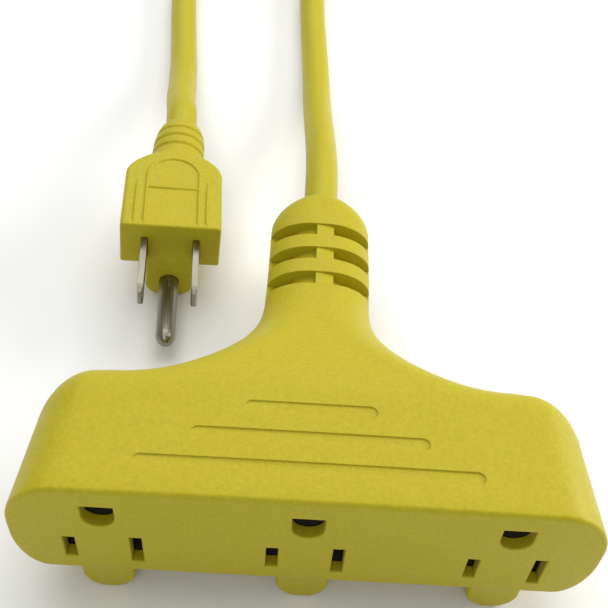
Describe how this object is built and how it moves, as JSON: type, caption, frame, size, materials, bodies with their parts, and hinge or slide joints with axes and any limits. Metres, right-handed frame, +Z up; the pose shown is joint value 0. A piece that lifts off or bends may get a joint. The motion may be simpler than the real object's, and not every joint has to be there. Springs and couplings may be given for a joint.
{
  "type": "extension cord",
  "caption": "Three-outlet grounded extension cord: flat T-shaped outlet block, round flexible cord tied in a hank, three-pin plug.",
  "frame": {"origin": "middle of the outlet block's footprint, on the surface that it stands on", "axes": "+X along the row of outlets, to the right for somebody facing them; +Y from the outlet face towards the cord; +Z up out of the block's top"},
  "size_m": [0.1118, 0.5224, 0.0469],
  "materials": {
    "yellow_pvc": "satin, fine moulded grain",
    "ivory_nylon": "satin",
    "dark_nylon": "satin",
    "brass": "stamped",
    "nickel": "nickel plated",
    "black_insulation": "satin",
    "white_insulation": "satin",
    "green_insulation": "satin",
    "black_webbing": "matt woven"
  },
  "bodies": {
    "root": {"block_overmould": "yellow_pvc", "contact_carrier": "ivory_nylon", "carrier_cover": "ivory_nylon", "hot_contact_1": "brass", "hot_contact_2": "brass", "hot_contact_3": "brass", "neutral_contact_1": "brass", "neutral_contact_2": "brass", "neutral_contact_3": "brass", "ground_contact_1": "brass", "ground_contact_2": "brass", "ground_contact_3": "brass", "hot_bus": "brass", "neutral_bus": "brass", "ground_bus": "brass", "hot_crimp_block": "brass", "neutral_crimp_block": "brass", "ground_crimp_block": "brass", "hot_conductor_block": "black_insulation", "neutral_conductor_block": "white_insulation", "ground_conductor_block": "green_insulation", "cord_jacket_in_block": "yellow_pvc", "plug_overmould": "yellow_pvc", "plug_bridge": "dark_nylon", "hot_blade": "nickel", "neutral_blade": "nickel", "ground_pin": "nickel", "hot_crimp_plug": "brass", "neutral_crimp_plug": "brass", "ground_crimp_plug": "brass", "hot_conductor_plug": "black_insulation", "neutral_conductor_plug": "white_insulation", "ground_conductor_plug": "green_insulation", "cord_jacket_in_plug": "yellow_pvc", "cord_block_end": "yellow_pvc", "cord_hank": "yellow_pvc", "cord_plug_end": "yellow_pvc", "hank_tie": "black_webbing"}
  },
  "joints": []
}
